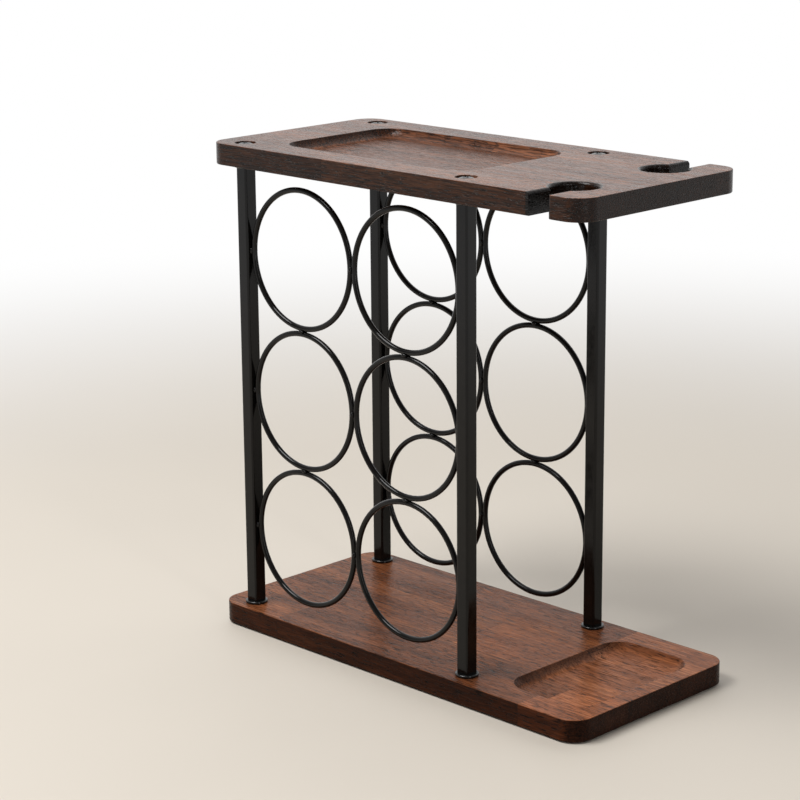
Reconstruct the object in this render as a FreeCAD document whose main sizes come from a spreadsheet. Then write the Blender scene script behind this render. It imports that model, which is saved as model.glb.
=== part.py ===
import FreeCAD, Part
import os
import Sketcher
from FreeCAD import Rotation, Vector
from math import cos, pi, radians, sin, sqrt

# Table rack for bottles and stemmed glasses: two wood boards, four square tube posts and
# welded wire hoops. X runs along the boards towards the glass slots, Y runs away from the
# front long edge, Z is up. The origin is on the table, below the middle of the boards.

doc = FreeCAD.newDocument("BottleRack")
sheet = doc.addObject("Spreadsheet::Sheet", "Sizes")

# Driving dimensions in millimetres: alias, value, meaning
driving = [
    ("hoop_outer", 100, "outside diameter of a bottle hoop"),
    ("hoop_wire", 4, "diameter of the hoop wire"),
    ("hoop_margin", 10, "clear height between the hoops and a board"),
    ("tube_width", 10, "outside width of a square post tube"),
    ("tube_wall", 1, "wall of a post tube"),
    ("tube_corner", 1.5, "outside corner radius of a post tube"),
    ("post_depth", 128, "distance from a front post to the rear post behind it"),
    ("post_side", 14.5, "distance from a post's axis to the long edge of a board"),
    ("post_end", 23.5, "distance from the left posts' axes to the left end of a board"),
    ("overhang", 108.5, "length of a board to the right of the right posts' axes"),
    ("base_thick", 15, "thickness of the base board"),
    ("top_thick", 15, "thickness of the top board"),
    ("board_corner", 15, "corner radius of both boards in plan"),
    ("board_edge", 0.8, "bevel of the boards' upper edges"),
    ("bottle_tray_length", 175, "length of the tray in the top board"),
    ("bottle_tray_width", 107, "width of the tray in the top board"),
    ("bottle_tray_depth", 6, "depth of the tray in the top board"),
    ("bottle_tray_end", 45, "wood left between the top tray and the left end"),
    ("glass_tray_length", 69.5, "size along X of the tray in the base board"),
    ("glass_tray_width", 117, "size along Y of the tray in the base board"),
    ("glass_tray_depth", 5, "depth of the tray in the base board"),
    ("glass_tray_end", 12, "wood left between the base tray and the right end"),
    ("tray_corner", 18, "corner radius of both trays in plan, at their rims"),
    ("tray_slope", 48, "lean of both trays' walls from upright, in degrees"),
    ("stem_hole", 31, "diameter of the round end of a glass slot"),
    ("stem_end", 35.5, "distance from that hole's centre to the right end"),
    ("stem_side", 34.5, "distance from that hole's centre to the side"),
    ("stem_slot", 15, "width of the slot from the hole to the side"),
    ("stem_edge", 2.2, "bevel of the slot's and the hole's upper edge"),
    ("stem_mouth", 3.5, "rounding in plan of the outer corner where a slot opens"),
    ("screw_shank", 5, "size of a screw's shank across its flats"),
    ("screw_length", 22, "length of a screw below its head"),
    ("screw_head", 11, "size of a screw's head across its flats"),
    ("screw_head_height", 3, "height of that head"),
    ("sink_width", 14.5, "diameter of the counterbore for a screw head"),
    ("sink_depth", 4, "depth of that counterbore"),
    ("screw_play", 0.25, "radial play of a shank in a board"),
    ("thread_play", 0.05, "radial play of a shank in an insert"),
    ("insert_flange", 16, "size of an insert's flange across its flats"),
    ("insert_flange_height", 2, "height of that flange"),
    ("insert_stem", 14, "length of the insert inside the tube"),
    ("insert_play", 0.1, "play on each side of the insert in the tube"),
    ("weld_length", 4, "length of a weld bead"),
    ("weld_radius", 1.3, "radius of a weld bead"),
    ("weld_offset", 2.1, "distance of a bead's middle from the hoops' plane"),
    ("weld_post_hold", 0.9, "distance of a bead's middle from the face of a post"),
    ("pad_width", 16, "diameter of a pad under the base"),
    ("pad_height", 1.2, "height of a pad"),
    ("pad_end", 45, "distance from a pad's axis to the end of the base"),
    ("pad_side", 18, "distance from a pad's axis to the long edge of the base"),
]
for row, (alias, value, meaning) in enumerate(driving, start=1):
    sheet.set(f"A{row}", alias)
    sheet.set(f"B{row}", str(value))
    sheet.set(f"C{row}", meaning)
    sheet.setAlias(f"B{row}", alias)
doc.recompute()


def size(alias):
    return float(sheet.get(alias))


# Lengths worked out from the driving dimensions, as expressions of the sheet's cells
hoop_columns = 2
hoop_rows = 3
hoop_pieces = 24
wire_sides = 6
shank_sides = 8
head_sides = 12
flange_sides = 16
pad_sides = 12
bay = f"({hoop_columns} * Sizes.hoop_outer + Sizes.tube_width)"
board_length = f"(Sizes.post_end + {bay} + Sizes.overhang)"
board_width = "(Sizes.post_depth + 2 * Sizes.post_side)"
gap = f"({hoop_rows} * Sizes.hoop_outer + 2 * Sizes.hoop_margin)"
left_post = f"(Sizes.post_end - {board_length} / 2)"
right_post = f"({left_post} + {bay})"
base_top = "(Sizes.pad_height + Sizes.base_thick)"
top_under = f"({base_top} + {gap})"
tube_length = f"({gap} - 2 * Sizes.insert_flange_height)"
post_columns = {"left": left_post, "right": right_post}
post_rows = {"front": "(-Sizes.post_depth / 2)", "rear": "(Sizes.post_depth / 2)"}


def value_of(expression):
    return float(sheet.evalExpression(expression.replace("Sizes.", "")))


def new_body(label):
    body = doc.addObject("PartDesign::Body", label)
    body.Label = label
    return body


def place(body, x, y, z, turned_over=False):
    if turned_over:
        body.Placement.Rotation = Rotation(Vector(1, 0, 0), 180)
    body.setExpression("Placement.Base.x", x)
    body.setExpression("Placement.Base.y", y)
    body.setExpression("Placement.Base.z", z)


def origin_part(body, role):
    for feature in body.Origin.OriginFeatures:
        if feature.Role == role:
            return feature
    raise ValueError(role)


def new_sketch(body, name, x=None, y=None, z=None, plane="XY_Plane"):
    """Attaches a sketch to a plane of the body. x, y and z shift its origin on that plane."""
    sketch = body.newObject("Sketcher::SketchObject", name)
    sketch.AttachmentSupport = [(origin_part(body, plane), "")]
    sketch.MapMode = "FlatFace"
    for axis, shift in (("x", x), ("y", y), ("z", z)):
        if shift:
            sketch.setExpression(f"AttachmentOffset.Base.{axis}", shift)
    return sketch


def bind(sketch, kind, references, expression):
    index = sketch.addConstraint(Sketcher.Constraint(kind, *references, value_of(expression)))
    sketch.setExpression(f"Constraints[{index}]", expression)


def add_rectangle(sketch, length, width):
    """Draws a rectangle with its middle at the sketch's origin."""
    x = value_of(length) / 2
    y = value_of(width) / 2
    points = [Vector(-x, -y, 0), Vector(x, -y, 0), Vector(x, y, 0), Vector(-x, y, 0)]
    sides = []
    for start, end in zip(points, points[1:] + points[:1]):
        sides.append(sketch.addGeometry(Part.LineSegment(start, end), False))
    for index in range(4):
        following = sides[(index + 1) % 4]
        sketch.addConstraint(Sketcher.Constraint("Coincident", sides[index], 2, following, 1))
    for index, kind in enumerate(("Horizontal", "Vertical", "Horizontal", "Vertical")):
        sketch.addConstraint(Sketcher.Constraint(kind, sides[index]))
    sketch.addConstraint(Sketcher.Constraint("Symmetric", sides[0], 1, sides[1], 2, -1, 1))
    bind(sketch, "DistanceX", (sides[0], 1, sides[0], 2), length)
    bind(sketch, "DistanceY", (sides[1], 1, sides[1], 2), width)


def add_rounded_rectangle(sketch, length, width, corner):
    """Draws a rounded rectangle with its middle at the sketch's origin."""
    x = value_of(length) / 2
    y = value_of(width) / 2
    radius = value_of(corner)
    quarters = [(1, -1, -90), (1, 1, 0), (-1, 1, 90), (-1, -1, 180)]
    arcs = []
    curves = []
    for right, up, start in quarters:
        centre = Vector(right * (x - radius), up * (y - radius), 0)
        circle = Part.Circle(centre, Vector(0, 0, 1), radius)
        curves.append(Part.ArcOfCircle(circle, radians(start), radians(start + 90)))
        arcs.append(sketch.addGeometry(curves[-1], False))
    sides = []
    for index in range(4):
        line = Part.LineSegment(curves[index].EndPoint, curves[(index + 1) % 4].StartPoint)
        sides.append(sketch.addGeometry(line, False))
    for index in range(4):
        following = arcs[(index + 1) % 4]
        sketch.addConstraint(Sketcher.Constraint("Tangent", arcs[index], 2, sides[index], 1))
        sketch.addConstraint(Sketcher.Constraint("Tangent", sides[index], 2, following, 1))
    for index, kind in enumerate(("Vertical", "Horizontal", "Vertical", "Horizontal")):
        sketch.addConstraint(Sketcher.Constraint(kind, sides[index]))
    for index in range(1, 4):
        sketch.addConstraint(Sketcher.Constraint("Equal", arcs[0], arcs[index]))
    bind(sketch, "Radius", (arcs[0],), corner)
    bind(sketch, "DistanceX", (sides[2], 1, sides[0], 1), length)
    bind(sketch, "DistanceY", (sides[3], 1, sides[1], 1), width)
    bind(sketch, "DistanceX", (-1, 1, sides[0], 1), f"{length} / 2")
    bind(sketch, "DistanceY", (-1, 1, sides[1], 1), f"{width} / 2")


def add_circles(sketch, diameter, columns, rows):
    """Draws one circle for each column and row, which are distances from the origin."""
    first = None
    for column in columns:
        for row in rows:
            x = value_of(column) if column else 0
            y = value_of(row) if row else 0
            circle = Part.Circle(Vector(x, y, 0), Vector(0, 0, 1), value_of(diameter) / 2)
            index = sketch.addGeometry(circle, False)
            if column:
                bind(sketch, "DistanceX", (-1, 1, index, 3), column)
            else:
                sketch.addConstraint(Sketcher.Constraint("PointOnObject", index, 3, -2))
            if row:
                bind(sketch, "DistanceY", (-1, 1, index, 3), row)
            else:
                sketch.addConstraint(Sketcher.Constraint("PointOnObject", index, 3, -1))
            if first is None:
                first = index
                bind(sketch, "Diameter", (index,), diameter)
            else:
                sketch.addConstraint(Sketcher.Constraint("Equal", first, index))


def add_pad(body, sketch, length, downward=False):
    pad = body.newObject("PartDesign::Pad", "Pad")
    pad.Profile = sketch
    pad.Reversed = downward
    pad.setExpression("Length", length)
    doc.recompute()
    return pad


def add_pocket(body, sketch, depth=None, lean=None):
    """Cuts from the sketch down to a depth, or right through. Walls that lean narrow the cut
    with its depth."""
    before = body.Shape.Volume
    pocket = body.newObject("PartDesign::Pocket", "Pocket")
    pocket.Profile = sketch
    if lean:
        pocket.setExpression("TaperAngle", f"-1deg * {lean}")
    if depth:
        pocket.setExpression("Length", depth)
    else:
        pocket.Type = "ThroughAll"
    doc.recompute()
    if body.Shape.Volume >= before:
        raise ValueError(f"{body.Label}: a pocket removes nothing")
    return pocket


def add_edge_feature(body, kind, name, edges, measure, expression):
    """Rounds or bevels edges that were picked from the body's present shape."""
    names = []
    for index, edge in enumerate(body.Shape.Edges, start=1):
        if any(edge.isSame(wanted) for wanted in edges):
            names.append(f"Edge{index}")
    if not names:
        raise ValueError(f"{body.Label}: {name} finds no edge")
    base = body.Tip
    feature = body.newObject(kind, name)
    feature.Base = (base, names)
    feature.setExpression(measure, expression)
    body.Tip = feature
    doc.recompute()
    if not feature.isValid():
        raise ValueError(f"{body.Label}: {name} fails, {feature.getStatusString()}")


def add_rounding(body, name, edges, radius):
    add_edge_feature(body, "PartDesign::Fillet", name, edges, "Radius", radius)


def add_bevel(body, name, edges, width):
    add_edge_feature(body, "PartDesign::Chamfer", name, edges, "Size", width)


def upper_face(shape, height):
    """Finds the largest level face at a height that looks up."""
    found = []
    for face in shape.Faces:
        level = abs(face.BoundBox.ZMin - height) < 0.001 and face.BoundBox.ZLength < 0.001
        if level and face.normalAt(0, 0).z > 0:
            found.append(face)
    return max(found, key=lambda face: face.Area)


def upright_edges(shape, x_values, y_values):
    """Finds the upright edges that stand at one of the x and one of the y values."""
    found = []
    for edge in shape.Edges:
        box = edge.BoundBox
        if box.XLength > 0.001 or box.YLength > 0.001:
            continue
        near_x = any(abs(box.XMin - x) < 0.001 for x in x_values)
        near_y = any(abs(box.YMin - y) < 0.001 for y in y_values)
        if near_x and near_y:
            found.append(edge)
    return found


def add_board(body, thickness):
    sketch = new_sketch(body, "Outline")
    add_rounded_rectangle(sketch, board_length, board_width, "Sizes.board_corner")
    return add_pad(body, sketch, thickness)


def add_tray(body, thickness, x, length, width, depth):
    """Sinks a dished tray with leaning walls into the upper face of a board."""
    sketch = new_sketch(body, "TrayRim", x=x, z=thickness)
    add_rounded_rectangle(sketch, length, width, "Sizes.tray_corner")
    add_pocket(body, sketch, depth, "Sizes.tray_slope")
    floor = upper_face(body.Shape, value_of(thickness) - value_of(depth))
    if floor.BoundBox.XLength >= value_of(length):
        raise ValueError(f"{body.Label}: the tray's walls lean outward")


def bevel_upper_edge(body, thickness):
    """Bevels the outline of the upper face where an upright side meets it."""
    upper = upper_face(body.Shape, value_of(thickness))
    outline = []
    for edge in upper.OuterWire.Edges:
        neighbours = body.Shape.ancestorsOfType(edge, Part.Face)
        if any(abs(face.normalAt(*face.Surface.parameter(edge.CenterOfMass)).z) < 0.001 for face in neighbours):
            outline.append(edge)
    add_bevel(body, "UpperEdge", outline, "Sizes.board_edge")


def add_screw_holes(body, height, from_above):
    """Bores a counterbored hole on the axis of each post, from above or from below."""
    sketch = new_sketch(body, "ScrewAxes", x=left_post, y=post_rows["front"], z=height)
    add_circles(sketch, "(Sizes.screw_shank + 2 * Sizes.screw_play)", (None, bay), (None, "Sizes.post_depth"))
    doc.recompute()
    before = body.Shape.Volume
    hole = body.newObject("PartDesign::Hole", "ScrewHoles")
    hole.Profile = sketch
    hole.DepthType = "ThroughAll"
    hole.Threaded = False
    hole.Reversed = not from_above
    hole.HoleCutType = "Counterbore"
    hole.HoleCutCustomValues = True
    hole.setExpression("Diameter", "Sizes.screw_shank + 2 * Sizes.screw_play")
    hole.setExpression("HoleCutDiameter", "Sizes.sink_width")
    hole.setExpression("HoleCutDepth", "Sizes.sink_depth")
    doc.recompute()
    if body.Shape.Volume >= before:
        raise ValueError(f"{body.Label}: the screw holes remove nothing")


def make_base_board():
    body = new_body("base_board")
    add_board(body, "Sizes.base_thick")
    tray_x = f"({board_length} / 2 - Sizes.glass_tray_end - Sizes.glass_tray_length / 2)"
    length = "Sizes.glass_tray_length"
    width = "Sizes.glass_tray_width"
    add_tray(body, "Sizes.base_thick", tray_x, length, width, "Sizes.glass_tray_depth")
    bevel_upper_edge(body, "Sizes.base_thick")
    add_screw_holes(body, None, False)
    body.setExpression("Placement.Base.z", "Sizes.pad_height")
    return body


def keyhole_edges(face, middle, reach, side):
    """Finds the edges of a board's upper face that run round its keyhole slots."""
    found = []
    for edge in face.Edges:
        box = edge.BoundBox
        within = box.XMin > middle - reach - 0.001 and box.XMax < middle + reach + 0.001
        if within and box.YLength > 0.001 and max(abs(box.YMin), abs(box.YMax)) < side + 0.001:
            found.append(edge)
    return found


def add_stem_slot(body):
    """Cuts a keyhole slot in the front long edge and repeats it in the rear one."""
    x = f"({board_length} / 2 - Sizes.stem_end)"
    y = f"(Sizes.stem_side - {board_width} / 2)"
    sketch = new_sketch(body, "Keyhole", x=x, y=y, z="Sizes.top_thick")
    radius = size("stem_hole") / 2
    half = size("stem_slot") / 2
    neck = -sqrt(radius**2 - half**2)
    mouth = -2 * size("stem_side")
    round_end = Part.Circle(Vector(0, 0, 0), Vector(0, 0, 1), radius)
    left_end = round_end.parameter(Vector(-half, neck, 0))
    right_end = round_end.parameter(Vector(half, neck, 0))
    arc = sketch.addGeometry(Part.ArcOfCircle(round_end, right_end, left_end + 2 * pi), False)
    corners = [Vector(-half, neck, 0), Vector(-half, mouth, 0), Vector(half, mouth, 0), Vector(half, neck, 0)]
    lines = []
    for start, end in zip(corners, corners[1:]):
        lines.append(sketch.addGeometry(Part.LineSegment(start, end), False))
    left, end, right = lines
    joined = [(arc, 2, left, 1), (left, 2, end, 1), (end, 2, right, 1), (right, 2, arc, 1)]
    for pair in joined:
        sketch.addConstraint(Sketcher.Constraint("Coincident", *pair))
    sketch.addConstraint(Sketcher.Constraint("Coincident", arc, 3, -1, 1))
    sketch.addConstraint(Sketcher.Constraint("Vertical", left))
    sketch.addConstraint(Sketcher.Constraint("Vertical", right))
    sketch.addConstraint(Sketcher.Constraint("Horizontal", end))
    bind(sketch, "Diameter", (arc,), "Sizes.stem_hole")
    bind(sketch, "DistanceX", (end, 1, end, 2), "Sizes.stem_slot")
    bind(sketch, "DistanceX", (-1, 1, right, 2), "Sizes.stem_slot / 2")
    bind(sketch, "DistanceY", (end, 1, -1, 1), "2 * Sizes.stem_side")
    pocket = add_pocket(body, sketch)
    before = body.Shape.Volume
    mirrored = body.newObject("PartDesign::Mirrored", "RearKeyhole")
    mirrored.Originals = [pocket]
    mirrored.MirrorPlane = (origin_part(body, "XZ_Plane"), [""])
    body.Tip = mirrored
    doc.recompute()
    if body.Shape.Volume >= before:
        raise ValueError("the rear keyhole removes nothing")
    upper = upper_face(body.Shape, size("top_thick"))
    side = value_of(board_width) / 2
    add_bevel(body, "SlotEdges", keyhole_edges(upper, value_of(x), radius, side), "Sizes.stem_edge")
    outer_wall = value_of(x) + half
    mouths = upright_edges(body.Shape, [outer_wall], [-side, side])
    add_rounding(body, "SlotMouths", mouths, "Sizes.stem_mouth")


def make_top_board():
    body = new_body("top_board")
    add_board(body, "Sizes.top_thick")
    add_stem_slot(body)
    tray_x = f"(Sizes.bottle_tray_end + Sizes.bottle_tray_length / 2 - {board_length} / 2)"
    length = "Sizes.bottle_tray_length"
    width = "Sizes.bottle_tray_width"
    add_tray(body, "Sizes.top_thick", tray_x, length, width, "Sizes.bottle_tray_depth")
    bevel_upper_edge(body, "Sizes.top_thick")
    add_screw_holes(body, "Sizes.top_thick", True)
    body.setExpression("Placement.Base.z", top_under)
    return body


def make_post(label, x, y):
    """A square tube that stands on its foot insert and carries its head insert."""
    body = new_body(label)
    sketch = new_sketch(body, "Section")
    add_rounded_rectangle(sketch, "Sizes.tube_width", "Sizes.tube_width", "Sizes.tube_corner")
    inside = "(Sizes.tube_width - 2 * Sizes.tube_wall)"
    add_rectangle(sketch, inside, inside)
    add_pad(body, sketch, tube_length)
    place(body, x, y, f"{base_top} + Sizes.insert_flange_height")
    return body


def add_polygon(sketch, centre, corners, apothem, across):
    """Draws a closed ring of equal sides about a centre on the sketch's X axis. The first side
    is upright, to the right of the centre; across is the bound distance between two flats."""
    reach = apothem / cos(pi / corners)
    circle = sketch.addGeometry(Part.Circle(centre, Vector(0, 0, 1), reach), True)
    points = []
    for index in range(corners):
        angle = (2 * index - 1) * pi / corners
        points.append(centre + Vector(reach * cos(angle), reach * sin(angle), 0))
    sides = []
    for start, end in zip(points, points[1:] + points[:1]):
        sides.append(sketch.addGeometry(Part.LineSegment(start, end), False))
    for index, side in enumerate(sides):
        following = sides[(index + 1) % corners]
        sketch.addConstraint(Sketcher.Constraint("Coincident", side, 2, following, 1))
        sketch.addConstraint(Sketcher.Constraint("PointOnObject", side, 1, circle))
        if index:
            sketch.addConstraint(Sketcher.Constraint("Equal", sides[0], side))
    sketch.addConstraint(Sketcher.Constraint("Vertical", sides[0]))
    sketch.addConstraint(Sketcher.Constraint("PointOnObject", circle, 3, -1))
    bind(sketch, "DistanceX", (sides[corners // 2], 1, sides[0], 1), across)
    return sides


def add_centred_polygon(sketch, corners, across):
    """Draws a ring of equal sides about the sketch's origin."""
    apothem = value_of(across) / 2
    sides = add_polygon(sketch, Vector(0, 0, 0), corners, apothem, across)
    bind(sketch, "DistanceX", (-1, 1, sides[0], 1), f"{across} / 2")


def make_insert(label):
    """A threaded insert: a flange outside the tube and a square stem inside it."""
    body = new_body(label)
    sketch = new_sketch(body, "Flange")
    add_centred_polygon(sketch, flange_sides, "Sizes.insert_flange")
    add_pad(body, sketch, "Sizes.insert_flange_height")
    sketch = new_sketch(body, "Stem", z="Sizes.insert_flange_height")
    stem = "(Sizes.tube_width - 2 * Sizes.tube_wall - 2 * Sizes.insert_play)"
    add_rectangle(sketch, stem, stem)
    add_pad(body, sketch, "Sizes.insert_stem")
    top = "(Sizes.insert_flange_height + Sizes.insert_stem)"
    sketch = new_sketch(body, "Bore", z=top)
    add_centred_polygon(sketch, shank_sides, "(Sizes.screw_shank + 2 * Sizes.thread_play)")
    add_pocket(body, sketch)
    return body


def make_screw(label):
    """A screw with a flat head, whose underside lies at the body's origin."""
    body = new_body(label)
    sketch = new_sketch(body, "Head")
    add_centred_polygon(sketch, head_sides, "Sizes.screw_head")
    add_pad(body, sketch, "Sizes.screw_head_height")
    sketch = new_sketch(body, "Shank")
    add_centred_polygon(sketch, shank_sides, "Sizes.screw_shank")
    add_pad(body, sketch, "Sizes.screw_length", downward=True)
    return body


def make_hoop(label, x, y, z):
    """A wire hoop about the Y axis, drawn as short straight pieces of six-sided wire. Flats
    lie at its top, bottom and sides, where it is welded to its neighbours."""
    body = new_body(label)
    path = new_sketch(body, "Path", plane="XZ_Plane")
    middle = size("hoop_outer") / 2 - size("hoop_wire") / 2
    reach = middle / cos(pi / hoop_pieces)
    points = [Vector(middle, 0, 0)]
    for index in range(hoop_pieces):
        angle = (2 * index + 1) * pi / hoop_pieces
        points.append(Vector(reach * cos(angle), reach * sin(angle), 0))
    circle = path.addGeometry(Part.Circle(Vector(0, 0, 0), Vector(0, 0, 1), reach), True)
    pieces = []
    for start, end in zip(points, points[1:] + points[:1]):
        pieces.append(path.addGeometry(Part.LineSegment(start, end), False))
    for index, piece in enumerate(pieces):
        following = pieces[(index + 1) % len(pieces)]
        path.addConstraint(Sketcher.Constraint("Coincident", piece, 2, following, 1))
        if index:
            path.addConstraint(Sketcher.Constraint("PointOnObject", piece, 1, circle))
        if 1 < index < hoop_pieces:
            path.addConstraint(Sketcher.Constraint("Equal", pieces[1], piece))
    path.addConstraint(Sketcher.Constraint("Coincident", circle, 3, -1, 1))
    path.addConstraint(Sketcher.Constraint("PointOnObject", pieces[0], 1, -1))
    path.addConstraint(Sketcher.Constraint("Vertical", pieces[0]))
    path.addConstraint(Sketcher.Constraint("Vertical", pieces[-1]))
    half = "(Sizes.hoop_outer - Sizes.hoop_wire) / 2"
    bind(path, "DistanceX", (-1, 1, pieces[0], 1), half)
    bind(path, "Radius", (circle,), f"{half} / cos(180deg / {hoop_pieces})")
    section = new_sketch(body, "Wire")
    apothem = size("hoop_wire") / 2
    sides = add_polygon(section, Vector(middle, 0, 0), wire_sides, apothem, "Sizes.hoop_wire")
    bind(section, "DistanceX", (-1, 1, sides[0], 1), "Sizes.hoop_outer / 2")
    pipe = body.newObject("PartDesign::AdditivePipe", "Hoop")
    pipe.Profile = section
    pipe.Spine = path
    pipe.Transition = "Right corner"
    place(body, x, y, z)
    return body


def make_pad(x, y):
    pad = doc.addObject("Part::Prism", "Pad")
    pad.Polygon = pad_sides
    pad.setExpression("Circumradius", "Sizes.pad_width / 2")
    pad.setExpression("Height", "Sizes.pad_height")
    pad.setExpression("Placement.Base.x", x)
    pad.setExpression("Placement.Base.y", y)
    return pad


def make_group(label, members):
    group = doc.addObject("Part::Compound", label)
    group.Label = label
    group.Links = members
    return group


def bead(centre, direction, touching):
    """One weld bead: a short six-sided lump, cut back to what it joins."""
    across = direction.cross(Vector(0, 1, 0))
    start = centre - direction * (size("weld_length") / 2)
    radius = size("weld_radius")
    corners = []
    for index in range(7):
        angle = index * pi / 3
        sideways = across * (radius * cos(angle))
        corners.append(start + sideways + Vector(0, radius * sin(angle), 0))
    lump = Part.Face(Part.makePolygon(corners)).extrude(direction * size("weld_length"))
    return lump.cut(touching)


def make_welds(label, hoops, posts):
    """Beads before and behind each place where two hoops, or a hoop and a post, touch."""
    reach = size("hoop_outer") / 2
    post_hold = size("weld_post_hold")
    upright = Vector(0, 0, 1)
    level = Vector(1, 0, 0)
    spots = []
    for (column, row), hoop in hoops.items():
        centre = hoop.Placement.Base
        for side in (-1, 1):
            other = hoops.get((column + side, row))
            touch = centre + level * (side * reach)
            if other is None:
                post = posts["left" if side < 0 else "right"]
                spots.append((touch - level * (side * post_hold), upright, [hoop, post]))
            elif side > 0:
                spots.append((touch, upright, [hoop, other]))
        above = hoops.get((column, row + 1))
        if above:
            spots.append((centre + upright * reach, level, [hoop, above]))
    beads = []
    for spot, direction, touching in spots:
        shapes = [item.Shape for item in touching]
        for side in (-1, 1):
            shift = Vector(0, side * size("weld_offset"), 0)
            beads.append(bead(spot + shift, direction, shapes))
    welds = doc.addObject("Part::Feature", label)
    welds.Label = label
    welds.Shape = Part.makeCompound(beads)
    return welds


base_board = make_base_board()
top_board = make_top_board()
nodes = [base_board, top_board]

foot_inserts = []
head_inserts = []
top_screws = []
base_screws = []
head_top = f"({top_under} + Sizes.top_thick - Sizes.sink_depth)"
for column, x in post_columns.items():
    for row, y in post_rows.items():
        foot_inserts.append(make_insert("foot_insert"))
        place(foot_inserts[-1], x, y, base_top)
        head_inserts.append(make_insert("head_insert"))
        place(head_inserts[-1], x, y, top_under, turned_over=True)
        top_screws.append(make_screw("top_screw"))
        place(top_screws[-1], x, y, head_top)
        base_screws.append(make_screw("base_screw"))
        place(base_screws[-1], x, y, "Sizes.pad_height + Sizes.sink_depth", turned_over=True)

row_names = ["lower", "middle", "upper"]
column_names = ["left", "right"]
for row, y in post_rows.items():
    posts = {}
    for column, x in post_columns.items():
        posts[column] = make_post(f"post_{row}_{column}", x, y)
    hoops = {}
    for index in range(hoop_columns):
        x = f"({left_post} + Sizes.tube_width / 2 + (2 * {index} + 1) * Sizes.hoop_outer / 2)"
        for level in range(hoop_rows):
            z = f"({base_top} + Sizes.hoop_margin + (2 * {level} + 1) * Sizes.hoop_outer / 2)"
            label = f"hoop_{row}_{row_names[level]}_{column_names[index]}"
            hoops[index, level] = make_hoop(label, x, y, z)
    doc.recompute()
    nodes += list(posts.values()) + list(hoops.values())
    nodes.append(make_welds(f"weld_beads_{row}", hoops, posts))

pad_x = f"({board_length} / 2 - Sizes.pad_end)"
pad_y = f"({board_width} / 2 - Sizes.pad_side)"
pads = [make_pad(f"{sx} * {pad_x}", f"{sy} * {pad_y}") for sx in (-1, 1) for sy in (-1, 1)]
nodes.append(make_group("post_inserts_foot", foot_inserts))
nodes.append(make_group("post_inserts_top", head_inserts))
nodes.append(make_group("top_screws", top_screws))
nodes.append(make_group("base_screws", base_screws))
nodes.append(make_group("foot_pads", pads))
doc.recompute()

for item in doc.Objects:
    if "Invalid" in item.State or "Error" in item.State:
        raise ValueError(f"{item.Label} failed: {item.State}")
for node in nodes:
    if node.Shape.isNull() or not node.Shape.isValid():
        raise ValueError(f"{node.Label} has no valid shape")

os.makedirs("parts", exist_ok=True)
for node in nodes:
    node.Shape.exportStep(f"parts/{node.Label}.step")
    box = node.Shape.BoundBox
    print(f"{node.Label}: {len(node.Shape.Solids)} solids, {node.Shape.Volume:.1f} mm3,"
          f" {box.XLength:.2f} x {box.YLength:.2f} x {box.ZLength:.2f}")
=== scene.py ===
import bpy
import bmesh
from math import cos, pi, radians, sin
from mathutils import Matrix, Vector, noise


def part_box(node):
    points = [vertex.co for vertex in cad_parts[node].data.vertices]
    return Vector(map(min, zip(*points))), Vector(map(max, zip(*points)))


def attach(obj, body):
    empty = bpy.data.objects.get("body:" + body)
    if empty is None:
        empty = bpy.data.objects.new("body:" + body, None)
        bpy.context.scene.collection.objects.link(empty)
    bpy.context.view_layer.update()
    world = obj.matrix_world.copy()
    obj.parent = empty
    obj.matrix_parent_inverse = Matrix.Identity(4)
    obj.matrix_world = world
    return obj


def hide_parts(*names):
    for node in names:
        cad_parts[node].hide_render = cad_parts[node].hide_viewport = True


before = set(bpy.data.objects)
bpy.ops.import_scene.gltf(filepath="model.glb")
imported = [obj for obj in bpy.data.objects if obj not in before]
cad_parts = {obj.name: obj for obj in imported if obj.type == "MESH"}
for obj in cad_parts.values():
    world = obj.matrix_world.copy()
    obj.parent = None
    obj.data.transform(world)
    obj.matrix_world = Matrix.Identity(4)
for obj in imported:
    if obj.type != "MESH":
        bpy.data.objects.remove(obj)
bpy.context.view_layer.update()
mm = 0.001
nearZero = 0.001 * mm  # shorter lengths count as nothing
nodeNames = sorted(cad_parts)
print("frame loaded:", len(nodeNames), "nodes")


def meshObject(name, bm):
    mesh = bpy.data.meshes.new(name)
    bm.to_mesh(mesh)
    bm.free()
    piece = bpy.data.objects.new(name, mesh)
    bpy.context.scene.collection.objects.link(piece)
    return piece


def cutAway(piece, cutters):  # cuts the tools out of a piece and throws them away
    for cutter in cutters:
        cut = piece.modifiers.new("cut", "BOOLEAN")
        cut.operation = "DIFFERENCE"
        cut.solver = "EXACT"
        cut.object = cutter
    bpy.context.view_layer.update()
    graph = bpy.context.evaluated_depsgraph_get()
    mesh = bpy.data.meshes.new_from_object(piece.evaluated_get(graph))
    piece.modifiers.clear()
    piece.data = mesh
    for cutter in cutters:
        bpy.data.objects.remove(cutter)
    return piece


def smoothByAngle(piece, limit):  # edges that turn by more degrees than the limit stay sharp
    bm = bmesh.new()
    bm.from_mesh(piece.data)
    for face in bm.faces:
        face.smooth = True
    for edge in bm.edges:
        edge.smooth = len(edge.link_faces) == 2 and edge.calc_face_angle(0) < radians(limit)
    bm.to_mesh(piece.data)
    bm.free()
    even = piece.modifiers.new("evenNormals", "WEIGHTED_NORMAL")
    even.keep_sharp = True
    even.weight = 60


def slab(bm, x, y, z):  # a box, from two ends on each axis
    made = bmesh.ops.create_cube(bm, size=1)["verts"]
    size = [high - low for low, high in (x, y, z)]
    middle = [(low + high) / 2 for low, high in (x, y, z)]
    bmesh.ops.scale(bm, verts=made, vec=size)
    bmesh.ops.translate(bm, verts=made, vec=middle)
    return made


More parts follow.
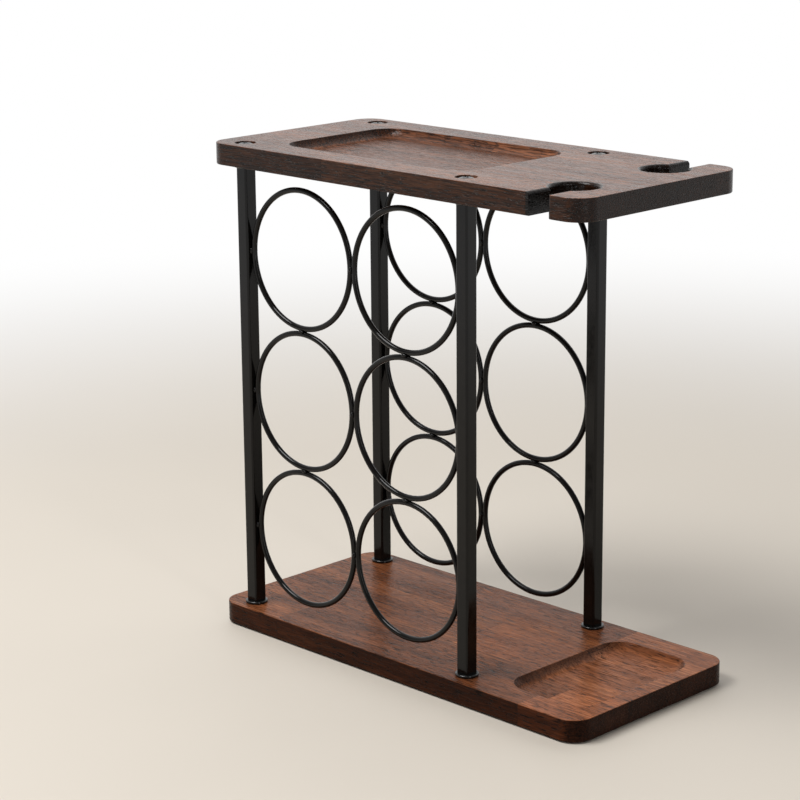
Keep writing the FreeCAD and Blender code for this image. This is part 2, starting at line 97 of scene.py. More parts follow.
def uprightEdges(edges):
    found = []
    for edge in edges:
        run = edge.verts[0].co - edge.verts[1].co
        if abs(run.x) < nearZero and abs(run.y) < nearZero:
            found.append(edge)
    return found


def levelEdges(edges):
    return [edge for edge in edges if abs(edge.verts[0].co.z - edge.verts[1].co.z) < nearZero]


def roundEdges(bm, edges, radius, segments):
    bmesh.ops.bevel(bm, geom=edges, offset=radius, offset_type="OFFSET", affect="EDGES",
                    segments=segments, profile=0.5, material=-1, clamp_overlap=False)


def lathe(bm, profile, steps, closed=False):  # turns (radius, height) points about Z
    chain = [bm.verts.new((r, 0, z)) for r, z in profile]
    lines = [bm.edges.new(pair) for pair in zip(chain, chain[1:])]
    if closed:
        lines.append(bm.edges.new((chain[-1], chain[0])))
    bmesh.ops.spin(bm, geom=chain + lines, cent=(0, 0, 0), axis=(0, 0, 1), angle=2 * pi,
                   steps=steps, use_merge=True, use_duplicate=False)
    bmesh.ops.remove_doubles(bm, verts=bm.verts, dist=nearZero / 10)
    bmesh.ops.recalc_face_normals(bm, faces=bm.faces)


def arc(centre, radius, start, end, count):  # points of an arc in a profile's plane, in degrees
    points = []
    for index in range(count + 1):
        angle = radians(start + (end - start) * index / count)
        points.append((centre[0] + radius * cos(angle), centre[1] + radius * sin(angle)))
    return points


def squareTube(bm, x, y, z, wall, corner=0, cornerSteps=0):  # goes into an empty bmesh
    slab(bm, x, y, z)
    if corner:
        roundEdges(bm, uprightEdges(bm.edges), corner, cornerSteps)
    ends = [face for face in bm.faces if abs(face.normal.z) > 0.9]
    bmesh.ops.inset_individual(bm, faces=ends, thickness=wall, use_even_offset=True)
    loops = [edge for face in ends for edge in face.edges]
    bmesh.ops.delete(bm, geom=ends, context="FACES_ONLY")
    bmesh.ops.bridge_loops(bm, edges=loops)


def copiesAt(name, master, places):  # one piece out of a master mesh at several places
    bm = bmesh.new()
    for place in places:
        start = len(bm.verts)
        bm.from_mesh(master.data)
        bm.verts.ensure_lookup_table()
        bmesh.ops.transform(bm, matrix=place, verts=bm.verts[start:])
    bpy.data.objects.remove(master)
    return meshObject(name, bm)


def finishPiece(piece, material, node, smooth):
    smoothByAngle(piece, smooth)
    piece.data.materials.clear()
    piece.data.materials.append(material)
    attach(piece, "root")
    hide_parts(node)
    print(piece.name, "has", len(piece.data.polygons), "faces")


def newMaterial(name):
    material = bpy.data.materials.new(name)
    material.use_nodes = True
    tree = material.node_tree
    return material, tree, tree.nodes["Principled BSDF"]


def feed(tree, value, socket):  # links a socket to an input, or sets the input's own value
    if isinstance(value, bpy.types.NodeSocket):
        tree.links.new(value, socket)
    else:
        socket.default_value = value


def calc(tree, operation, *values):
    node = tree.nodes.new("ShaderNodeMath")
    node.operation = operation
    for value, socket in zip(values, node.inputs):
        feed(tree, value, socket)
    return node.outputs[0]


def weigh(tree, layers, shares):  # the sum of some layers, each times its share
    total = 0.0
    for key, share in shares.items():
        total = calc(tree, "ADD", total, calc(tree, "MULTIPLY", layers[key], share))
    return total


def spread(tree, value, low, high, toLow=0.0, toHigh=1.0):  # maps low..high softly
    node = tree.nodes.new("ShaderNodeMapRange")
    node.interpolation_type = "SMOOTHSTEP"
    for entry, number in zip(node.inputs, (value, low, high, toLow, toHigh)):
        feed(tree, number, entry)
    return node.outputs[0]


def ramp(tree, source, stops):
    node = tree.nodes.new("ShaderNodeValToRGB")
    elements = node.color_ramp.elements
    while len(elements) < len(stops):
        elements.new(0.5)
    for element, (position, colour) in zip(elements, stops):
        element.position = position
        element.color = (*colour, 1)
    tree.links.new(source, node.inputs[0])
    return node.outputs[0]


def tinted(tree, factor, colour, tint):  # multiplies a colour by a tint
    node = tree.nodes.new("ShaderNodeMix")
    node.data_type = "RGBA"
    node.blend_type = "MULTIPLY"
    for value, index in ((factor, 0), (colour, 6), (tint, 7)):  # the inputs for colours are 6, 7
        feed(tree, value, node.inputs[index])
    return node.outputs[2]


def shaded(tree, colour, value, factor=1.0):  # multiplies a colour by a grey value
    node = tree.nodes.new("ShaderNodeCombineColor")
    for socket in node.inputs[:3]:
        tree.links.new(value, socket)
    return tinted(tree, factor, colour, node.outputs[0])


def speckle(tree, source, scale, detail, roughness=0.55, shift=(0, 0, 0)):  # scale is per axis
    place = tree.nodes.new("ShaderNodeMapping")
    place.inputs["Scale"].default_value = scale
    place.inputs["Location"].default_value = shift
    tree.links.new(source, place.inputs["Vector"])
    node = tree.nodes.new("ShaderNodeTexNoise")
    node.inputs["Scale"].default_value = 1
    node.inputs["Detail"].default_value = detail
    node.inputs["Roughness"].default_value = roughness
    tree.links.new(place.outputs[0], node.inputs["Vector"])
    return node.outputs["Fac"]


def addRelief(tree, shader, height, strength, distance):
    bump = tree.nodes.new("ShaderNodeBump")
    bump.inputs["Strength"].default_value = strength
    bump.inputs["Distance"].default_value = distance
    tree.links.new(height, bump.inputs["Height"])
    tree.links.new(bump.outputs[0], shader.inputs["Normal"])


boards = {
    "length": 342 * mm, "width": 157 * mm, "corner": 15 * mm, "cornerSteps": 18,
    "edge": 0.6 * mm, "edgeSteps": 3, "smooth": 28,
}
screwHoles = {
    "x": (-147.5 * mm, 62.5 * mm), "y": (-64 * mm, 64 * mm), "shank": 5.5 * mm, "steps": 48,
    "sink": 14.5 * mm, "sinkDepth": 4 * mm, "sinkEdge": 0.3 * mm, "through": 20 * mm,
}
stemSlot = {
    "x": 135.5 * mm, "y": 44 * mm, "hole": 31 * mm, "slot": 15 * mm, "steps": 72,
    "flare": 2.4 * mm, "flareSteps": 7, "mouth": 3.5 * mm, "mouthSteps": 48,
}
woodLook = {
    "stain": [(0.30, (0.036, 0.0110, 0.0046)), (0.50, (0.100, 0.0330, 0.0125)),
              (0.72, (0.200, 0.0750, 0.0300))],
    "layers": {  # scale on each axis, detail, roughness and shift
        "bands": ((4, 75, 75), 3), "patches": ((7, 18, 18), 2),
        "streaks": ((16, 420, 420), 4, 0.6), "fibres": ((60, 1000, 1000), 2, 0.6),
        "pores": ((120, 1150, 1150), 1, 0.5, (3, 5, 1)),
    },
    "toneShares": {"bands": 0.34, "streaks": 0.38, "patches": 0.28},
    "poreShares": {"pores": 1.0, "bands": 0.25}, "poreRange": (0.47, 0.54), "poreShade": 0.25,
    "fibreRange": (0.32, 0.68), "fibreShade": (0.38, 1.60),
    "glossShares": {"streaks": 0.6, "fibres": 0.4}, "glossRange": (0.3, 0.7),
    "roughness": (0.16, 0.34),
    "reliefShares": {"pores": 1.0, "fibres": 0.8}, "relief": 0.6 * mm, "reliefStrength": 0.55,
    "wave": 9, "bend": (0, 0.007, 0.007), "jump": (1.7, 0.9, 0.9),
    "gluedEdge": 26.2 * mm, "seam": (0.10, 0.34), "seamShade": 0.35,
    # the band and the facing range where painted shade darkens the upright faces along the outline
    "sideBand": 11 * mm, "sideFacing": (0.75, 0.25),
    # end: end grain takes more stain, and this darkening also paints shade on faces turned along X
    "end": (0.42, 0.46, 0.55), "endFacing": (0.15, 0.60),
    # keyhole: tint of painted shade down inside the keyholes, and of darker stain on their rounded
    # rims
    "keyhole": (0.12, 0.14, 0.18), "keyholeGloss": 0.14, "keyholeFade": 0.4 * mm,
}
topStaves = {
    "seed": 0.0, "joints": ((-56 * mm,), (38 * mm,), (-20 * mm,)),
    # side: the tint of the painted shade on the upright outline faces
    "tones": ((0.95, 1.25), (1.25, 1.20), (1.15, 1.25)), "side": (0.28, 0.30, 0.33),
    "specular": 0.19, "contrast": 1.0, "keyhole": True,
}
baseStaves = {
    "seed": 4.0, "joints": ((-110 * mm, 121 * mm), (12 * mm,), (-48 * mm, 92 * mm)),
    # side: the tint of the painted shade on the upright outline faces
    # the higher tones on the right-hand lengths are painted light; the rest is the lengths' own
    # tone
    "tones": ((1.90, 1.60, 2.90), (1.70, 2.40), (1.60, 2.10, 2.90)), "side": (0.20, 0.16, 0.14),
    "specular": 0.06, "contrast": 0.5, "keyhole": False,
}


def staveLayout(tree, x, y, staves):  # which glued length of wood a point is on, and its tone, which on the base's right-hand lengths also paints light
    edge = woodLook["gluedEdge"]
    stave = calc(tree, "ADD", calc(tree, "GREATER_THAN", y, -edge),
                 calc(tree, "GREATER_THAN", y, edge))
    seam = calc(tree, "ABSOLUTE", calc(tree, "SUBTRACT", calc(tree, "ABSOLUTE", y), edge))
    count, tone = 0.0, 0.0
    for index, (joints, tones) in enumerate(zip(staves["joints"], staves["tones"])):
        here = calc(tree, "COMPARE", stave, float(index), 0.1)
        elsewhere = calc(tree, "SUBTRACT", 1.0, here)
        tone = calc(tree, "ADD", tone, calc(tree, "MULTIPLY", here, tones[0]))
        for joint, before, after in zip(joints, tones, tones[1:]):
            past = calc(tree, "MULTIPLY", here, calc(tree, "GREATER_THAN", x, joint))
            count = calc(tree, "ADD", count, past)
            tone = calc(tree, "ADD", tone, calc(tree, "MULTIPLY", past, after - before))
            away = calc(tree, "ABSOLUTE", calc(tree, "SUBTRACT", x, joint))
            seam = calc(tree, "MINIMUM", seam, calc(tree, "ADD", away, elsewhere))
    return stave, count, tone, seam


def grainPlace(tree, place, key):  # bends the grain a little and moves it from length to length
    joined = tree.nodes.new("ShaderNodeCombineXYZ")
    for value, socket in zip(key, joined.inputs):
        feed(tree, value, socket)
    chance = tree.nodes.new("ShaderNodeTexWhiteNoise")
    tree.links.new(joined.outputs[0], chance.inputs["Vector"])
    wave = tree.nodes.new("ShaderNodeTexNoise")
    wave.inputs["Scale"].default_value = woodLook["wave"]
    wave.inputs["Detail"].default_value = 1
    tree.links.new(place, wave.inputs["Vector"])
    for source, reach in ((wave, woodLook["bend"]), (chance, woodLook["jump"])):
        shift = tree.nodes.new("ShaderNodeVectorMath")
        shift.operation = "MULTIPLY_ADD"
        tree.links.new(source.outputs["Color"], shift.inputs[0])
        shift.inputs[1].default_value = reach
        tree.links.new(place, shift.inputs[2])
        place = shift.outputs[0]
    return place


def sideShadeMask(tree, x, y):  # one in a band along a board's outline, where painted shade goes on the upright faces
    band = woodLook["sideBand"]
    outerX = calc(tree, "SUBTRACT", calc(tree, "ABSOLUTE", x), boards["length"] / 2 - band)
    outerY = calc(tree, "SUBTRACT", calc(tree, "ABSOLUTE", y), boards["width"] / 2 - band)
    return calc(tree, "GREATER_THAN", calc(tree, "MAXIMUM", outerX, outerY), 0.0)


def keyholeShadeMask(tree, x, y):  # one inside the keyholes and on their rounded rims, for painted shade down the holes and darker stain on the rims
    across = calc(tree, "SUBTRACT", x, stemSlot["x"])
    along = calc(tree, "SUBTRACT", calc(tree, "ABSOLUTE", y), stemSlot["y"])
    away = calc(tree, "SQRT", calc(tree, "ADD", calc(tree, "MULTIPLY", across, across),
                                   calc(tree, "MULTIPLY", along, along)))
    fade = woodLook["keyholeFade"]
    hole = stemSlot["hole"] / 2 + stemSlot["flare"]
    slot = stemSlot["slot"] / 2 + stemSlot["flare"]
    inHole = spread(tree, away, hole, hole - fade)
    inSlot = spread(tree, calc(tree, "ABSOLUTE", across), slot, slot - fade)
    inSlot = calc(tree, "MULTIPLY", inSlot, calc(tree, "GREATER_THAN", along, 0.0))
    return calc(tree, "MAXIMUM", inHole, inSlot)


def woodFinish(name, staves):
    material, tree, shader = newMaterial(name)
    place = tree.nodes.new("ShaderNodeTexCoord").outputs["Object"]
    split = tree.nodes.new("ShaderNodeSeparateXYZ")
    tree.links.new(place, split.inputs[0])
    x, y = split.outputs["X"], split.outputs["Y"]
    stave, count, tone, seam = staveLayout(tree, x, y, staves)
    grain = grainPlace(tree, place, (stave, count, staves["seed"]))
    layers = {key: speckle(tree, grain, *look) for key, look in woodLook["layers"].items()}

    colour = ramp(tree, weigh(tree, layers, woodLook["toneShares"]), woodLook["stain"])
    fibres = spread(tree, layers["fibres"], *woodLook["fibreRange"], *woodLook["fibreShade"])
    colour = shaded(tree, colour, fibres, staves["contrast"])
    pores = weigh(tree, layers, woodLook["poreShares"])
    layers["pores"] = spread(tree, pores, *woodLook["poreRange"])
    pores = spread(tree, layers["pores"], 0.0, 1.0, woodLook["poreShade"], 1.0)
    colour = shaded(tree, colour, pores)
    # the lengths' own tones; the base's brighter right-hand lengths are painted light
    colour = shaded(tree, colour, tone)
    seam = calc(tree, "MULTIPLY", seam, 1 / mm)
    colour = shaded(tree, colour, spread(tree, seam, *woodLook["seam"], woodLook["seamShade"], 1.0))

    facing = tree.nodes.new("ShaderNodeSeparateXYZ")  # painted shade on the upright outline faces; end grain soaks up more stain
    tree.links.new(tree.nodes.new("ShaderNodeNewGeometry").outputs["Normal"], facing.inputs[0])
    paintedSideShade = spread(tree, facing.outputs["Z"], *woodLook["sideFacing"])
    paintedSideShade = calc(tree, "MULTIPLY", sideShadeMask(tree, x, y), paintedSideShade)
    colour = tinted(tree, paintedSideShade, colour, (*staves["side"], 1))
    # end grain darkens, and this also paints shade on faces turned along X and on the rounded
    # corners
    ends = calc(tree, "ABSOLUTE", facing.outputs["X"])
    ends = spread(tree, ends, *woodLook["endFacing"])
    colour = tinted(tree, ends, colour, (*woodLook["end"], 1))

    gloss = weigh(tree, layers, woodLook["glossShares"])
    gloss = spread(tree, gloss, *woodLook["glossRange"], *woodLook["roughness"])
    if staves["keyhole"]:
        shadedKeyhole = keyholeShadeMask(tree, x, y)
        # painted shade inside the keyholes, darker stain on their rims
        colour = tinted(tree, shadedKeyhole, colour, (*woodLook["keyhole"], 1))
        polish = calc(tree, "MULTIPLY", shadedKeyhole, woodLook["keyholeGloss"])
        gloss = calc(tree, "SUBTRACT", gloss, polish)
    tree.links.new(colour, shader.inputs["Base Color"])
    tree.links.new(gloss, shader.inputs["Roughness"])
    shader.inputs["Specular IOR Level"].default_value = staves["specular"]
    addRelief(tree, shader, weigh(tree, layers, woodLook["reliefShares"]),
              woodLook["reliefStrength"], woodLook["relief"])
    return material


coatLook = {  # what all the black finishes share
    "cloud": 1 / 14, "cloudDetail": 3, "fineDetail": 4, "tints": ((0.3, 0.75), (0.7, 1.3)),
    "range": (0.25, 0.75), "uneven": (-0.04, 0.06), "reliefStrength": 0.3,
}


def coatFinish(name, look):  # painted, coated or moulded black parts
    material, tree, shader = newMaterial(name)
    place = tree.nodes.new("ShaderNodeTexCoord").outputs["Object"]
    cloud = speckle(tree, place, (look["grain"] * coatLook["cloud"],) * 3, coatLook["cloudDetail"])
    fine = speckle(tree, place, (look["grain"],) * 3, coatLook["fineDetail"])
    tints = [(stop, tuple(share * part for part in look["colour"]))
             for stop, share in coatLook["tints"]]
    tree.links.new(ramp(tree, cloud, tints), shader.inputs["Base Color"])
    rough = [look["roughness"] + change for change in coatLook["uneven"]]
    rough = spread(tree, cloud, *coatLook["range"], *rough)
    tree.links.new(rough, shader.inputs["Roughness"])
    shader.inputs["Metallic"].default_value = look["metallic"]
    shader.inputs["Specular IOR Level"].default_value = look["specular"]
    addRelief(tree, shader, fine, coatLook["reliefStrength"], look["relief"])
    return material


def plate(name, z):
    bm = bmesh.new()
    half = (boards["length"] / 2, boards["width"] / 2)
    slab(bm, (-half[0], half[0]), (-half[1], half[1]), z)
    roundEdges(bm, uprightEdges(bm.edges), boards["corner"], boards["cornerSteps"])
    roundEdges(bm, levelEdges(bm.edges), boards["edge"], boards["edgeSteps"])
    return meshObject(name, bm)


trayShape = {"above": 3 * mm, "cornerSteps": 16, "lipSteps": 3, "coveSteps": 10}
topTray = {"centre": -38.5 * mm, "length": 175 * mm, "width": 107 * mm, "depth": 6 * mm,
           "corner": 18.5 * mm, "lip": 0.5 * mm, "slope": 75}
baseTray = {"centre": 124.25 * mm, "length": 69.5 * mm, "width": 117 * mm, "depth": 5 * mm,
            "corner": 17.5 * mm, "lip": 0.9 * mm, "slope": 50}


def arcMoves(radius, start, end, count):  # moves inward and down from point to point of an arc
    points = arc((0, 0), radius, start, end, count)
    return [(abs(b[1] - a[1]), abs(b[0] - a[0])) for a, b in zip(points, points[1:])]


def trayCutter(tray, top):
    half = (tray["length"] / 2, tray["width"] / 2)
    bm = bmesh.new()
    slab(bm, (-half[0], half[0]), (-half[1], half[1]), (top, top + trayShape["above"]))
    roundEdges(bm, uprightEdges(bm.edges), tray["corner"], trayShape["cornerSteps"])
    bmesh.ops.translate(bm, verts=bm.verts, vec=(tray["centre"], 0, 0))
    floor = min(bm.faces, key=lambda face: face.calc_center_median().z)
    lip, slope = tray["lip"], tray["slope"]
    cove = tray["depth"] / (1 - cos(radians(slope))) - lip
    moves = arcMoves(lip, 0, slope, trayShape["lipSteps"])  # the rounded lip
    moves += arcMoves(cove, slope, 0, trayShape["coveSteps"])  # the cove down to the floor
    for inward, down in moves:
        bmesh.ops.inset_region(bm, faces=[floor], thickness=inward, use_even_offset=True,
                               use_boundary=True)
        bmesh.ops.translate(bm, verts=floor.verts, vec=(0, 0, -down))
    bmesh.ops.recalc_face_normals(bm, faces=bm.faces)
    return meshObject("trayCutter", bm)


def screwCutters(faceZ, fromAbove):  # a counterbore with its shank hole, from the face at faceZ
    cutters = []
    r, edge, deep = screwHoles["sink"] / 2, screwHoles["sinkEdge"], screwHoles["sinkDepth"]
    shank, above, through = screwHoles["shank"] / 2, trayShape["above"], screwHoles["through"]
    profile = [(0, above), (r + edge, above), (r + edge, 0), (r, -edge), (r, -deep),
               (shank, -deep), (shank, -through), (0, -through)]
    turn = Matrix.Identity(4) if fromAbove else Matrix.Rotation(pi, 4, "X")
    for x in screwHoles["x"]:
        for y in screwHoles["y"]:
            bm = bmesh.new()
            lathe(bm, profile, screwHoles["steps"])
            place = Matrix.Translation((x, y, faceZ)) @ turn
            bmesh.ops.transform(bm, matrix=place, verts=bm.verts)
            cutters.append(meshObject("screwCutter", bm))
    return cutters


def keyholeCutters(z):  # round holes and slots that open to the long sides, flared at the top
    cutters = []
    r, half, flare = stemSlot["hole"] / 2, stemSlot["slot"] / 2, stemSlot["flare"]
    x, above, below = stemSlot["x"], z[1] + 4 * mm, z[0] - 4 * mm
    side = [(flare, above)] + arc((flare, z[1] - flare), flare, 90, 180, stemSlot["flareSteps"])
    side.append((0, below))
    section = [(-half - out, h) for out, h in side] + [(half + out, h) for out, h in reversed(side)]
    for way in (-1, 1):
        y = way * stemSlot["y"]
        bm = bmesh.new()
        lathe(bm, [(0, above)] + [(r + out, h) for out, h in side] + [(0, below)],
              stemSlot["steps"])
        bmesh.ops.translate(bm, verts=bm.verts, vec=(x, y, 0))
        cutters.append(meshObject("holeCutter", bm))
        bm = bmesh.new()
        face = bm.faces.new([bm.verts.new((x + across, y, h)) for across, h in section])
        grown = bmesh.ops.extrude_face_region(bm, geom=[face])["geom"]
        grown = [item for item in grown if isinstance(item, bmesh.types.BMVert)]
        reach = way * (boards["width"] / 2 - stemSlot["y"] + 5 * mm)
        bmesh.ops.translate(bm, verts=grown, vec=(0, reach, 0))
        bmesh.ops.recalc_face_normals(bm, faces=bm.faces)
        cutters.append(meshObject("slotCutter", bm))
    return cutters


def mouthCutters(z):  # round the slots' outer corners
    cutters = []
    r, edge, steps, spare = stemSlot["mouth"], boards["edge"], boards["edgeSteps"], 5 * mm
    x = stemSlot["x"] + stemSlot["slot"] / 2
    below, above, inner = z[0] - 2 * spare, z[1] + 2 * spare, r - edge
    profile = [(0, below), (inner, below)] + arc((inner, z[0] + edge), edge, -90, 0, steps)
    profile += arc((inner, z[1] - edge), edge, 0, 90, steps) + [(inner, above), (0, above)]
    for way in (-1, 1):
        y = way * boards["width"] / 2
        bm = bmesh.new()
        slab(bm, (x - 1 * mm, x + r), sorted((y - way * r, y + way * mm)),
             (z[0] - spare, z[1] + spare))
        block = meshObject("mouthCutter", bm)
        bm = bmesh.new()
        lathe(bm, profile, stemSlot["mouthSteps"])
        bmesh.ops.translate(bm, verts=bm.verts, vec=(x + r, y - way * r, 0))
        cutters.append(cutAway(block, [meshObject("mouthPin", bm)]))
    return cutters


def makeBoard(name, node, staves, tray, screwsFromAbove):
    low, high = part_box(node)
    z = (low[2], high[2])
    cutters = [trayCutter(tray, z[1])]
    cutters += screwCutters(z[1] if screwsFromAbove else z[0], screwsFromAbove)
    if staves["keyhole"]:
        cutters += keyholeCutters(z) + mouthCutters(z)
    board = cutAway(plate(name, z), cutters)
    finishPiece(board, woodFinish(name + "Wood", staves), node, boards["smooth"])


makeBoard("topBoard", "top_board", topStaves, topTray, True)
makeBoard("baseBoard", "base_board", baseStaves, baseTray, False)


metalLook = {"colour": (0.0042, 0.0036, 0.0032), "roughness": 0.13, "grain": 2600,
             "relief": 0.02 * mm, "metallic": 0.0, "specular": 0.22}
blackMetal = coatFinish("satinBlackCoat", metalLook)


def pieceName(node):
    words = node.split("_")
    return words[0] + "".join(word.capitalize() for word in words[1:])


postTube = {"corner": 1.5 * mm, "cornerSteps": 6, "wall": 1 * mm, "smooth": 40}
for node in [name for name in nodeNames if name.startswith("post_") and "insert" not in name]:
    bm = bmesh.new()
    squareTube(bm, *zip(*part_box(node)), postTube["wall"], postTube["corner"],
               postTube["cornerSteps"])
    bmesh.ops.recalc_face_normals(bm, faces=bm.faces)
    finishPiece(meshObject(pieceName(node), bm), blackMetal, node,
                postTube["smooth"])


hoopWire = {"thickness": 4 * mm, "around": 20, "along": 96, "smooth": 60}
hoops = [name for name in nodeNames if name.startswith("hoop_")]
for node in hoops:
    low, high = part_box(node)
    reach = (high[0] - low[0] - hoopWire["thickness"]) / 2
    bm = bmesh.new()
    ring = bmesh.ops.create_circle(bm, segments=hoopWire["around"],
                                   radius=hoopWire["thickness"] / 2)["verts"]
    bmesh.ops.translate(bm, verts=ring, vec=(reach, 0, 0))
    bmesh.ops.spin(bm, geom=bm.verts[:] + bm.edges[:], cent=(0, 0, 0), axis=(0, 1, 0),
                   angle=2 * pi, steps=hoopWire["along"], use_merge=True, use_duplicate=False)
    bmesh.ops.recalc_face_normals(bm, faces=bm.faces)
    bmesh.ops.translate(bm, verts=bm.verts, vec=(Vector(low) + Vector(high)) / 2)
    finishPiece(meshObject(pieceName(node), bm), blackMetal, node,
                hoopWire["smooth"])


beadShape = {"length": 4.6 * mm, "width": 2.5 * mm, "offset": 1.9 * mm, "postHold": 0.9 * mm,
             "vary": 0.12, "ripple": 0.10, "ripples": 3, "lump": 0.16, "lumpScale": 3,
             "fineness": 3, "smooth": 60}


def beadSpots(row):  # where hoops touch hoops or posts, with the directions from the hoops
    spots = {}
    for low, high in [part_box(name) for name in hoops if name.startswith("hoop_" + row)]:
        centre = (Vector(low) + Vector(high)) / 2
        reach = (high[0] - low[0]) / 2
        for direction in ((1, 0, 0), (-1, 0, 0), (0, 0, 1), (0, 0, -1)):
            spot = centre + Vector(direction) * reach
            spots.setdefault(tuple(round(value, 4) for value in spot), []).append(direction)
    return sorted(spots.items())


def makeBeads(row):
    bm = bmesh.new()
    for index, (spot, directions) in enumerate(beadSpots(row)):
        spot, direction = Vector(spot), Vector(directions[0])
        alongX = abs(direction.x) > 0.5
        if len(directions) == 1:
            if not alongX:
                continue  # the hoops' tops and bottoms stay clear of the boards
            spot -= direction * beadShape["postHold"]
        for side in (-1, 1):
            vary = 1 + beadShape["vary"] * sin(7.3 * index + 2.1 * side)  # no two are alike
            blob = bmesh.ops.create_icosphere(bm, subdivisions=beadShape["fineness"],
                                              radius=0.5)["verts"]
            for vert in blob:  # the ripples and lumps of melted metal
                swell = 1 + beadShape["ripple"] * cos(2 * pi * beadShape["ripples"] * vert.co.z)
                place = vert.co * beadShape["lumpScale"] + Vector((index, side, 0))
                swell += beadShape["lump"] * noise.noise(place)
                vert.co.x *= swell
                vert.co.y *= swell
            long, wide = beadShape["length"] * vary, beadShape["width"] / vary
            bmesh.ops.scale(bm, verts=blob, vec=(wide, wide, long))
            if not alongX:
                bmesh.ops.rotate(bm, verts=blob, cent=(0, 0, 0),
                                 matrix=Matrix.Rotation(pi / 2, 3, "Y"))
            out = Vector((0, side * beadShape["offset"], 0))
            bmesh.ops.translate(bm, verts=blob, vec=spot + out)
    finishPiece(meshObject("weldBeads" + row.capitalize(), bm), blackMetal,
                "weld_beads_" + row, beadShape["smooth"])


makeBeads("front")
makeBeads("rear")


upright, flipped = Matrix.Identity(4), Matrix.Rotation(pi, 4, "X")
postSpots = [(x, y) for x in screwHoles["x"] for y in screwHoles["y"]]
baseLow, baseHigh = (corner[2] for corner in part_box("base_board"))
topLow, topHigh = (corner[2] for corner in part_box("top_board"))

insertShape = {"flange": 8 * mm, "height": 2 * mm, "round": 0.8 * mm, "roundSteps": 6,
               "stem": 7.8 * mm, "length": 16 * mm, "bore": 2.55 * mm, "steps": 56, "smooth": 32}
insertLook = {"colour": (0.005, 0.005, 0.005), "roughness": 0.13, "grain": 1800,
              "relief": 0.01 * mm, "metallic": 0.0, "specular": 0.5}


def insertMaster():
    r, h, e, bore = (insertShape[key] for key in ("flange", "height", "round", "bore"))
    half, steps = insertShape["stem"] / 2, insertShape["roundSteps"]
    bm = bmesh.new()
    squareTube(bm, (-half, half), (-half, half), (h, insertShape["length"]), half - bore)
    profile = [(bore, 0)] + arc((r - e, e), e, -90, 0, steps)
    profile += arc((r - e, h - e), e, 0, 90, steps) + [(bore, h)]
    lathe(bm, profile, insertShape["steps"], closed=True)
    return meshObject("insertMaster", bm)


blackGloss = coatFinish("glossBlackInsert", insertLook)
for name, node, height, turn in (("footInserts", "post_inserts_foot", baseHigh, upright),
                                 ("headInserts", "post_inserts_top", topLow, flipped)):
    spots = [Matrix.Translation((x, y, height)) @ turn for x, y in postSpots]
    inserts = copiesAt(name, insertMaster(), spots)
    finishPiece(inserts, blackGloss, node, insertShape["smooth"])


screwShape = {"shank": 2.5 * mm, "tip": 1 * mm, "tipShare": 0.7, "length": 22 * mm, "steps": 48,
              "head": 5.9 * mm, "height": 3.95 * mm, "under": 0.3 * mm, "rim": 2.3 * mm,
              "domeSteps": 12, "arm": 5.8 * mm, "slot": 1.3 * mm, "depth": 1.9 * mm,
              "narrowed": (0.55, 0.8), "turns": (0.35, 0.9, 1.25, 0.1), "smooth": 35}
screwLook = {"colour": (0.10, 0.10, 0.10), "roughness": 0.20, "grain": 2000,
             "relief": 0.01 * mm, "metallic": 1.0, "specular": 0.5}


def screwMaster():
    s = screwShape
    profile = [(0, -s["length"]), (s["shank"] * s["tipShare"], -s["length"]),
               (s["shank"], -s["length"] + s["tip"]), (s["shank"], 0),
               (s["head"] - s["under"], 0), (s["head"], s["under"])]
    rise, dome = s["height"] - s["rim"], arc((0, 0), 1, 0, 90, s["domeSteps"])
    profile += [(s["head"] * r, s["rim"] + rise * h) for r, h in dome]
    bm = bmesh.new()
    lathe(bm, profile, s["steps"])
    master = meshObject("screwMaster", bm)
    cutters = []
    half, thin, floor = s["arm"] / 2, s["slot"] / 2, s["height"] - s["depth"]
    for angle in (0, pi / 2):  # the cross recess, narrower at its floor
        bm = bmesh.new()
        made = slab(bm, (-half, half), (-thin, thin), (floor, s["height"] + 1 * mm))
        for vert in made:
            if vert.co.z < s["height"]:
                vert.co.x *= s["narrowed"][0]
                vert.co.y *= s["narrowed"][1]
        bmesh.ops.rotate(bm, verts=made, cent=(0, 0, 0), matrix=Matrix.Rotation(angle, 3, "Z"))
        cutters.append(meshObject("crossCutter", bm))
    return cutAway(master, cutters)


blackScrew = coatFinish("blackScrewSteel", screwLook)
sinkDepth = screwHoles["sinkDepth"]
for name, node, height, turn in (("topScrews", "top_screws", topHigh - sinkDepth, upright),
                                 ("baseScrews", "base_screws", baseLow + sinkDepth, flipped)):
    spots = [Matrix.Translation((x, y, height)) @ turn @ Matrix.Rotation(angle, 4, "Z")
             for (x, y), angle in zip(postSpots, screwShape["turns"])]
    screws = copiesAt(name, screwMaster(), spots)
    finishPiece(screws, blackScrew, node, screwShape["smooth"])


padShape = {"radius": 8 * mm, "edge": 0.25 * mm, "steps": 40, "smooth": 32}
padLook = {"colour": (0.02, 0.02, 0.02), "roughness": 0.85, "grain": 3000,
           "relief": 0.1 * mm, "metallic": 0.0, "specular": 0.5}
padX, padY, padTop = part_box("foot_pads")[1]
padRadius, padEdge = padShape["radius"], padShape["edge"]
bm = bmesh.new()
padProfile = [(0, 0), (padRadius - padEdge, 0), (padRadius, padEdge), (padRadius, padTop),
              (0, padTop)]
lathe(bm, padProfile, padShape["steps"])
spots = [Matrix.Translation((x, y, 0)) for x in (padRadius - padX, padX - padRadius)
         for y in (padRadius - padY, padY - padRadius)]
footPads = copiesAt("footPads", meshObject("padMaster", bm), spots)
finishPiece(footPads, coatFinish("padFoam", padLook), "foot_pads", padShape["smooth"])


